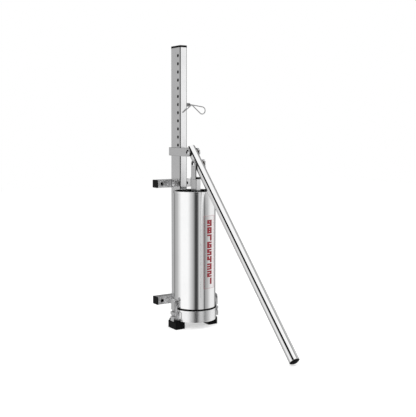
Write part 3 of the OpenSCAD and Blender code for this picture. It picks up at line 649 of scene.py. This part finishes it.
# ---------------------------------------------------------------------------
# Die ring. A turned stainless ring with an inner shelf carries the die plate,
# and is drawn up against the seal. A catch block with a curved saddle is
# welded to each side, on a black moulded foot held by two screws.
ring_profile = eased([(52.6, 18), (52.6, ring_top), (48.8, ring_top), (48.8, 26), (46.8, 26), (46.8, 22),
                      (44.8, 22), (44.8, 18)], [0.9, 0.9, 0.4, 0, 0.1, 0, 0.3, 0.5])
ring_steel = steel("ring_steel", (0.90, 0.90, 0.905), (0.19, 0.25), 0.012, across=60.0, along=2200.0)
stand("die_ring_turned", turned(ring_profile, 192, True), ring_steel, "frame", "polished_steel", "die_ring")
die_steel = steel("die_steel", (0.72, 0.72, 0.725), (0.25, 0.36), 0.05, across=700.0, along=700.0)
die_profile = eased([(15, 22), (46.7, 22), (46.7, 26), (15, 26)], [0.9, 0.4, 0.4, 0.9])
stand("die_plate_turned", turned(die_profile, 128, True), die_steel, "frame", "bright_fastener",
      "die_plate")
foot_profile = [(1.0, 0), (0.35, 0.3), (0, 1.0), (0, 16.2), (0.3, 17.1), (0.9, 17.75), (1.8, 18)]
foot_w, foot_d = 26, 38.6
foot_block = drawn(box_outline(foot_w, foot_d, 2.4), foot_profile)
for side, foot_x in (("left", -51.8), ("right", 41.8)):
    stand(side + "_catch_block", softened(side + "_catch", 0.45), clamp_steel, "frame",
          "polished_steel", side + "_catch")
    stand(side + "_foot_block", moved(foot_block, at((foot_x, 0, 0))), black_plastic, "frame",
          "black_plastic", side + "_foot")
screw_heads = []
for x, top in ((-59.3, 23), (34.3, 21.4)):
    screw_profile = eased([(0, 18), (4, 18), (4, top - 1.8), (2.6, top), (0, top)], [0, 0.2, 1.0, 0.6, 0],
                          closed=False)
    screw_head = cut(turned(screw_profile, 32), prism(1.7, 6, [(0, top - 1.6), (0, top + 1)]))
    screw_heads += [moved(screw_head, at((x, y, 0))) for y in (-13.8, 13.8)]
stand("foot_screw_heads", joined(*screw_heads), black_plastic, "frame", "black_plastic", "foot_screws")


# ---------------------------------------------------------------------------
# Scale plate. A thin polished steel plate is bent round the barrel. A pale red
# border, ticks and the figures 1 to 9 for the clay's level stand on it, raised
# a little as screened enamel is.
plate_turn = math.radians(14)
plate_low, plate_high, plate_half, plate_r = 98.02, 276.02, 19.0, 50.9


def bent(mesh, radius):
    """Wrap a flat drawing (X across, Z up, Y outwards) round the barrel, centred on the plate."""
    for v in mesh.vertices:
        angle = v.co.x / radius + plate_turn - math.pi / 2
        out = radius + v.co.y
        v.co = (out * math.cos(angle), out * math.sin(angle), v.co.z)
    mesh.update()
    return mesh


def strip(x0, x1, z0, z1, y0, y1, pieces=1, corner=0.0):
    """A flat bar of enamel or sheet, cut across so that it can bend."""
    rings = []
    for k in range(pieces + 1):
        x = x0 + (x1 - x0) * k / pieces
        edge = min(x - x0, x1 - x)
        pull = corner - math.sqrt(max(0.0, corner ** 2 - (corner - edge) ** 2)) if edge < corner else 0.0
        rings.append([(x, y0, z0 + pull), (x, y1, z0 + pull), (x, y1, z1 - pull), (x, y0, z1 - pull)])
    return skinned(rings)


def enamel(name, tone, rough, coat):
    """Screened enamel with a slight flow in its colour and an orange peel."""
    finish, tree, shader, here = principled(name)
    shader.inputs["Coat Weight"].default_value = coat
    shader.inputs["Coat Roughness"].default_value = 0.12
    flow = noise(tree, here, 140.0, 5.0)
    tinted = ramp(tree, flow, [(0.3, tuple(c * 0.94 for c in tone)), (0.7, tone)])
    feed(tree, shader, tinted, scaled(tree, flow, 0.0, 1.0, rough - 0.05, rough + 0.08),
         noise(tree, here, 1100.0, 1.0), 0.05)
    return finish


plate_sheet = bent(strip(-plate_half, plate_half, plate_low, plate_high, 0.02, 0.46, 60, 2.0), plate_r)
plate_steel = steel("plate_steel", (0.90, 0.885, 0.885), (0.09, 0.14), 0.012, across=1800.0, along=9.0)
stand("scale_plate_sheet", plate_sheet, plate_steel, "frame", "plate_enamel", "scale_plate")
line_in, half_line, half_tick = 1.2, 0.25, 0.3
red_low, red_high = 0.40, 0.58
x_line, z_low, z_high = plate_half - line_in, plate_low + line_in, plate_high - line_in
marks = [strip(x - half_line, x + half_line, z_low, z_high, red_low, red_high) for x in (-x_line, x_line)]
marks += [strip(-x_line, x_line, z - half_line, z + half_line, red_low, red_high, 44)
          for z in (z_low, z_high)]
step_z = (z_high - z_low) / 10
for k in range(1, 50):
    long = 3.0 if k % 5 else 5.5
    z = z_low + k * step_z / 5
    marks.append(strip(x_line - line_in - long, x_line - line_in, z - half_tick, z + half_tick,
                       red_low, red_high, 6))
pale_red = enamel("red_enamel_lines", (0.42, 0.10, 0.13), 0.36, coat=0.1)
stand("scale_lines", bent(joined(*marks), plate_r), pale_red, "frame", "plate_enamel")
# Block figures, each made of up to seven bars on a grid of three columns and five rows.
bars = {name: [(column, row) for column in range(3)]
        for name, row in (("top", 0), ("mid", 2), ("foot", 4))}
bars.update({name: [(column, row) for row in range(first, first + 3)]
             for name, column, first in (("nw", 0, 0), ("ne", 2, 0), ("sw", 0, 2), ("se", 2, 2))})
figures = ["ne se", "top ne mid sw foot", "top ne mid se foot", "nw ne mid se", "top nw mid se foot",
           "top nw mid sw se foot", "top ne se", "top mid foot nw ne sw se", "top mid foot nw ne se"]
column_edges, row_edges = (0.0, 6.2, 8.8, 15.0), (0.0, 3.9, 5.8, 9.7, 11.6, 15.5)
figure_x = -1.6


def block_figure(figure, middle_z):
    """One raised figure, flat, with each cell cut in three across so that it can bend."""
    filled = {(3 * column + part, row) for bar in figure.split() for column, row in bars[bar]
              for part in range(3)}
    bm = bmesh.new()
    thirds = [a + (b - a) * part / 3 for a, b in zip(column_edges, column_edges[1:]) for part in range(3)]
    thirds.append(column_edges[-1])
    left, top = figure_x - column_edges[-1] / 2, middle_z + row_edges[-1] / 2

    def corner(column, row, y):
        return bm.verts.new((left + thirds[column], y, top - row_edges[row]))

    for c, r in sorted(filled):
        ring = [(c, r), (c + 1, r), (c + 1, r + 1), (c, r + 1)]
        for y in (red_low, red_high):
            bm.faces.new([corner(*place, y) for place in ring])
        for beside, (one, two) in zip(((c, r - 1), (c + 1, r), (c, r + 1), (c - 1, r)),
                                      zip(ring, ring[1:] + ring[:1])):
            if beside not in filled:
                bm.faces.new([corner(*one, red_low), corner(*two, red_low), corner(*two, red_high),
                              corner(*one, red_high)])
    bmesh.ops.remove_doubles(bm, verts=bm.verts, dist=1e-4)
    bmesh.ops.recalc_face_normals(bm, faces=bm.faces)
    return mesh_of(bm)


figure_mesh = joined(*(block_figure(figure, z_low + k * step_z) for k, figure in enumerate(figures, 1)))
deep_red = enamel("red_enamel_figures", (0.25, 0.0006, 0.012), 0.42, coat=0.05)
stand("scale_figures", bent(figure_mesh, plate_r), deep_red, "frame", "plate_enamel")


# ---------------------------------------------------------------------------
# Draw latches, one on each side of the barrel. A cast base is screwed to the
# barrel, a stamped lever turns on a peened pin in its ears, and a bent wire
# bail hooks under the catch of the die ring.
def headings(path):
    """The path's direction at each of its points."""
    return [(path[min(i + 1, len(path) - 1)] - path[max(i - 1, 0)]).normalized()
            for i in range(len(path))]


def wire(path, radius, sides=14):
    """A round wire along a path, with its ends filed round."""
    path = [Vector(p) for p in path]
    ways = headings(path)
    side = ways[0].orthogonal().normalized()
    rings = []
    for i, (p, way) in enumerate(zip(path, ways)):
        if i:
            side = ways[i - 1].rotation_difference(way) @ side
        side = (side - way * side.dot(way)).normalized()
        circle = spokes(side, way.cross(side), sides)
        filed = {0: ((0.0, 0.45), (0.3, 0.82), (0.7, 1.0)),
                 len(path) - 1: ((-0.7, 1.0), (-0.3, 0.82), (0.0, 0.45))}.get(i, ((0.0, 1.0),))
        rings += [[p + way * radius * ahead + c * radius * share for c in circle] for ahead, share in filed]
    return skinned(rings)


latch_steel = steel("latch_steel", (0.84, 0.84, 0.845), (0.12, 0.19), 0.015, across=900.0, along=30.0)
peened = [(0.9, -7.4), (0.25, -7.15), (0, -6.8), (0, 6.8), (0.25, 7.15), (0.9, 7.4)]
latch_pin = moved(prism(1.8, 24, peened), along_y)
latch_x, latch_z = 57, 48
stand("latch_pins_peened", joined(*(moved(latch_pin, at((x, 0, latch_z))) for x in (-latch_x, latch_x))),
      bright_steel, "frame", "bright_fastener", "latch_pins")
bail_path = eased([(55, 5.9, 56), (55, 9.2, 56), (60.5, 9.2, 32), (60.5, -9.2, 32), (55, -9.2, 56),
                   (55, -5.9, 56)], [0, 1.5, 1.6, 1.6, 1.5, 0], closed=False)
bail_wire = wire(bail_path, 1.4)
for side, sign in (("left", -1), ("right", 1)):
    stand(side + "_latch_base_cast", softened(side + "_latch_base", 0.35), clamp_steel, "frame",
          "polished_steel", side + "_latch_base")
    stand(side + "_latch_lever_stamped", softened(side + "_latch_lever", 0.35), latch_steel,
          side + "_latch", "polished_steel", side + "_latch_lever")
    stand(side + "_latch_bail_wire", moved(bail_wire, Matrix.Diagonal((sign, 1, 1, 1))), bright_steel,
          side + "_bail", "bright_fastener", side + "_latch_bail")


# ---------------------------------------------------------------------------
# Collar. A 3 mm stainless strap is bent round the back of the post, with its
# ends rounded for the fulcrum bolt. Plastic liners keep it off the post, and
# a bridge is welded between its cheeks in front.
fulcrum = Vector((0, 8.5, 426))
strap_half, strap_t, cheek_x, back_y = 10.25, 3.0, 13.5, 101.6


def strap_edges_and_painted_shade(tree, here):
    """The strap is darker along its sawn top and bottom edges, and its left cheek's inside is darkened as
    painted shade.
    """
    inside = maths(tree, "MULTIPLY", near(tree, here, "X", -5, 9.7), near(tree, here, "Y", 36, 40))
    edges = maths(tree, "MULTIPLY", away(tree, here, "Z", fulcrum.z, strap_half - 0.4), 0.6)
    return maths(tree, "MAXIMUM", inside, edges)


collar_steel = steel("collar_steel", (0.84, 0.84, 0.845), (0.20, 0.27), 0.02, along=1400.0, painted_shade=strap_edges_and_painted_shade)
cheek_run = [(fulcrum.y - strap_half * math.cos(math.radians(a)), strap_half * math.sin(math.radians(a)))
             for a in (5, 9, 14, 20, 27, 35, 44, 54, 64, 74, 82)] + [(fulcrum.y, strap_half)]
plan = eased([(-cheek_x, fulcrum.y), (-cheek_x, back_y), (cheek_x, back_y), (cheek_x, fulcrum.y)],
             2.0, closed=False, steps=8)
stations = [(Vector((-cheek_x, y)), Vector((1, 0)), half) for y, half in cheek_run[:-1]]
stations += [(p, Vector((way.y, -way.x)), strap_half) for p, way in zip(plan, headings(plan))]
stations += [(Vector((cheek_x, y)), Vector((-1, 0)), half) for y, half in reversed(cheek_run[:-1])]
strap_rings = []
for middle, inward, half in stations:
    outer = strap_t / 2
    section = eased([(-outer, -half), (outer, -half), (outer, half), (-outer, half)], min(0.5, half * 0.4))
    strap_rings.append([(middle.x + inward.x * p.x, middle.y + inward.y * p.x, fulcrum.z + p.y)
                        for p in section])
pivot_r = 4.05
pivot_drill = moved(prism(pivot_r, 40, [(0, -20), (0, 20)]), along_x)
strap = cut(skinned(strap_rings), moved(pivot_drill, at(fulcrum)))
stand("collar_strap_bent", strap, collar_steel, "collar", "polished_steel", "collar_strap")
liner_plastic = plastic("liner_plastic", (0.045, 0.045, 0.05), 0.5)
stand("collar_liner_strips", softened("collar_liners", 0.2), liner_plastic, "collar", "liner_plastic",
      "collar_liners")
stand("collar_bridge_block", softened("collar_bridge", 0.6), clamp_steel, "collar", "polished_steel",
      "collar_bridge")


def low_nut(low):
    """Low nut along X, its flat face at low: a chamfered hexagon under a round crown."""
    hexagon = cut(prism(6.8, 6, [(0, 0.02), (0, 1.96)]),
                  prism(6.8, 48, [(0.7, 0), (0, 0.4), (0, 1.4), (1.0, 1.98)]), "INTERSECT")
    crown = turned(eased([(4.12, 1.5), (5.44, 1.5), (5.44, 2.8), (4.12, 2.8)], [0, 0, 0.7, 0.3], steps=3),
                   48, True)
    drilled = cut(hexagon, prism(4.1, 40, [(0, -1), (0, 4)]))
    return moved(joined(drilled, crown), at((low, 0, 0)) @ along_x)


pivot_bolt = button_bolt(-15, end=17.8, shank=4, head=6.8, head_high=2.8, socket=4.2)
pivot_nut = low_nut(15)
# Painted shade: a black fill sits in the bolt's hexagon socket.
socket_painted_shade = moved(prism(4.15, 6, [(0, 16.15), (0, 17.2), (0.35, 17.25), (0.5, 16.4), (3.3, 16.35)]),
                      leftward)
socket_shade_black = plastic("socket_shade_black", (0.006, 0.0055, 0.005), 0.5)


def pivot(name, place, body):
    """A button bolt through a pivot, a black fill in its socket as painted shade, and its low nut."""
    stand(name + "_bolt_button", moved(pivot_bolt, at(place)), bright_steel, body, "bright_fastener",
          name + "_bolt")
    stand(name + "_socket_painted_shade", moved(socket_painted_shade, at(place)), socket_shade_black, body, "black_rubber")
    stand(name + "_nut_low", moved(pivot_nut, at(place)), bright_steel, body, "bright_fastener",
          name + "_nut")


pivot("fulcrum", fulcrum, "collar")


# ---------------------------------------------------------------------------
# Lever. A 7/8 inch polished tube, cross drilled for two bronze bushes, with a
# black plastic cap over its lower tip and a flush plug in its upper end.
lean = math.radians(43.6)
lever_place = at(fulcrum) @ Matrix.Rotation(-lean, 4, "X")
lever_steel = steel("lever_steel", (0.94, 0.94, 0.942), (0.03, 0.055), 0.010, lean=lean, across=1600.0,
                    along=9.0, wear=0.25)
lever_r, lever_low, lever_high, bush_r, link_arm = 11.1, -575, 14.5, 5.55, 37
lever_tube = tube(round_outline(lever_r, 96), wall_t, lever_low, lever_high, 0.6)
bush_drills = joined(*(moved(prism(bush_r, 40, [(0, -16), (0, 16)]), at((0, 0, z)) @ along_x)
                       for z in (0, -link_arm)))
stand("lever_tube_drilled", moved(cut(lever_tube, bush_drills), lever_place), lever_steel, "lever",
      "polished_steel", "lever_tube")
tip_r, tip_crown, plug_r, bush_half = 11.9, 4.5, 9, 11.7
tip = lever_low - tip_crown
dome_r = (tip_r ** 2 + tip_crown ** 2) / (2 * tip_crown)
dome = [(r, tip + dome_r - math.sqrt(dome_r ** 2 - r ** 2))
        for r in (11.55, 10.6, 9.2, 7.6, 6.0, 4.4, 2.8, 1.4)]
tip_cap = joined(turned([(0, lever_low), (11.4, lever_low), (11.62, lever_low - 0.2), *dome, (0, tip)], 64),
                 prism(plug_r, 48, [(0, lever_low + 0.1), (0, lever_low + 5), (0.5, lever_low + 6)]))
top_plug = prism(plug_r, 48, [(0.4, 12), (0, 12.3), (0, 13.9), (0.3, 14.3), (1.0, lever_high)])
stand("lever_caps_moulded", moved(joined(tip_cap, top_plug), lever_place), black_plastic, "lever",
      "black_plastic", "lever_caps")
bronze = steel("bearing_bronze", (0.115, 0.095, 0.07), (0.25, 0.40), 0.05, across=900.0, along=900.0)
bush_profile = eased([(pivot_r, -bush_half), (bush_r, -bush_half), (bush_r, bush_half),
                      (pivot_r, bush_half)], 0.25)
bush = moved(turned(bush_profile, 40, True), along_x)
stand("lever_bushes_bronze", moved(joined(bush, moved(bush, at((0, 0, -link_arm)))), lever_place),
      bronze, "lever", "bronze_bush", "lever_bushes")


# ---------------------------------------------------------------------------
# Push rod. A 13 by 25 mm stainless tube with a fork of 3 mm plate welded to
# its top, which straddles the lever on the link bolt. A solid foot fills the
# tube's lower end where the plunger pin passes.
rod_y, rod_low, rod_high, plunger_pin_z = -4, 59.6, 362, 66
# Painted shade along the rod tube's corners.
rod_steel = steel("rod_steel", (0.84, 0.84, 0.845), (0.12, 0.18), 0.02,
                  painted_shade=corners((0, rod_y), (5.5, 11.3)))


def fork_painted_shade(tree, here):
    """The left ear's outer face is polished, and its cut edges and its inside are darkened as painted shade.
    """
    return maths(tree, "MULTIPLY", near(tree, here, "X", -5, 9.75), 0.92)


fork_steel = steel("fork_steel", (0.84, 0.84, 0.845), (0.16, 0.24), 0.02, painted_shade=fork_painted_shade)
link = fulcrum + Matrix.Rotation(-lean, 3, "X") @ Vector((0, 0, -link_arm))
stand("fork_welded", softened("fork", 0.7, 3), fork_steel, "push_rod", "polished_steel", "fork")
rod_w, rod_d, fork_seam = 13.4, 25, 361.6
rod_tube = moved(tube(box_outline(rod_w, rod_d, 1.6), wall_t, rod_low, rod_high), at((0, rod_y, 0)))
plunger_drill = moved(drill(pivot_r, rod_w / 2, 0.3), at((0, rod_y, plunger_pin_z)) @ along_x)
stand("push_rod_tube", cut(rod_tube, plunger_drill), rod_steel, "push_rod", "polished_steel", "push_rod")
stand("fork_welds", joined(*(bead((x, rod_y - 12, fork_seam), (x, rod_y + 12, fork_seam), 1.0)
                             for x in (-6.9, 6.9))), rod_steel, "push_rod", "polished_steel")
stand("rod_foot_plug", softened("rod_foot", 0.25), bright_steel, "push_rod", "bright_fastener", "rod_foot")
pivot("link", link, "push_rod")


# ---------------------------------------------------------------------------
# Plunger. A turned white plastic disc with a wiper groove, under a steel hub
# whose two lugs hold the cross pin. Four button screws join hub and disc.
white_plastic = plastic("white_plastic", (0.76, 0.76, 0.74), 0.4, 1500.0, 0.05)
disc_profile = eased([(0, 48), (46.6, 48), (46.6, 50.4), (45.6, 50.7), (45.6, 52.1), (46.6, 52.4),
                      (46.6, 55), (0, 55)], [0, 0.8, 0.2, 0.2, 0.2, 0.2, 0.8, 0], closed=False)
stand("plunger_disc_turned", turned(disc_profile, 128), white_plastic, "plunger", "white_plastic",
      "plunger_disc")
stand("plunger_hub_lugs", softened("plunger_hub", 0.4), clamp_steel, "plunger", "polished_steel",
      "plunger_hub")
pin_profile = eased([(0, -13), (5.6, -13), (5.6, -12.1), (4, -12.1), (4, 12.1), (5.6, 12.1), (5.6, 13),
                     (0, 13)], [0, 0.3, 0.1, 0, 0, 0.1, 0.3, 0], closed=False)
stand("plunger_cross_pin", moved(turned(pin_profile, 40), at((0, rod_y, plunger_pin_z)) @ along_x),
      bright_steel, "plunger", "bright_fastener", "plunger_pin")
button_profile = eased([(0, 58), (3, 58), (3, 59.2), (1.9, 61), (0, 61)], [0, 0.1, 0.8, 0.5, 0],
                       closed=False)
hub_screw = cut(turned(button_profile, 28), prism(1.2, 6, [(0, 59.4), (0, 62)]))
screw_ring = 19
screw_places = [(screw_ring * math.sin(math.radians(a)), rod_y + screw_ring * math.cos(math.radians(a)), 0)
                for a in (45, 135, 225, 315)]
stand("plunger_hub_screws", joined(*(moved(hub_screw, at(place)) for place in screw_places)),
      bright_steel, "plunger", "bright_fastener", "plunger_screws")


# ---------------------------------------------------------------------------
# Lock pin. A turned steel pin through the sixth peg hole, with a grooved head
# outside the post. A spring wire through the head lies across the post's face
# and runs out into a pull loop.
pin_z = peg_low + 5 * peg_pitch
head_profile = eased([(0, -8.5), (3, -8.5), (3, 10.1), (4.5, 10.1), (4.5, 14), (3.9, 14.4), (3.9, 15.2),
                      (4.5, 15.6), (4.5, 24), (0, 24)], [0, 0.9, 0, 0.5, 0.2, 0.2, 0.2, 0.2, 1.0, 0],
                     closed=False)
cross_x = 19.5
cross_drill = moved(drill(1.3, 4.5, 0.2, 20), at((cross_x, 0, 0)) @ along_y)
burnished = steel("burnished_pin", (0.40, 0.40, 0.405), (0.22, 0.32), 0.03, across=700.0, along=700.0)
stand("lock_pin_turned", moved(cut(moved(turned(head_profile, 48), along_x), cross_drill),
                               at((0, peg_y, pin_z))),
      burnished, "lock_pin", "bright_fastener", "lock_pin")
# The pull loop: an arc round loop_middle, and straight legs that meet it from the apex.
loop_r, loop_y = 9, 51.4
loop_middle = Vector((53.5, loop_y, pin_z - 14))
apex = Vector((cross_x, loop_y, pin_z))
droop = math.atan2(apex.z - loop_middle.z, loop_middle.x - apex.x)
loop_way = Vector((math.cos(droop), 0, -math.sin(droop)))
loop_up = Vector((math.sin(droop), 0, math.cos(droop)))
half_open = math.asin(loop_r / (loop_middle - apex).length)
turns = [(math.pi / 2 + half_open) * (1 - 2 * k / 24) for k in range(25)]
arc = [loop_middle + (loop_way * math.cos(a) + loop_up * math.sin(a)) * loop_r for a in turns]
entry = eased([(cross_x, 66.5, pin_z), (cross_x, 51.6, pin_z), arc[0]], [0, 2.4, 0], closed=False, steps=6)
back = eased([arc[-1], (21.5, 49.2, pin_z - 0.4), (-3, 51.2, pin_z - 20)], [0, 3.0, 0], closed=False,
             steps=6)
spring_steel = steel("spring_steel", (0.50, 0.50, 0.505), (0.16, 0.24), 0.02, across=700.0, along=700.0)
stand("pin_spring_wire", wire(entry + arc[1:-1] + back, 1.2), spring_steel, "lock_pin",
      "bright_fastener", "pin_wire")
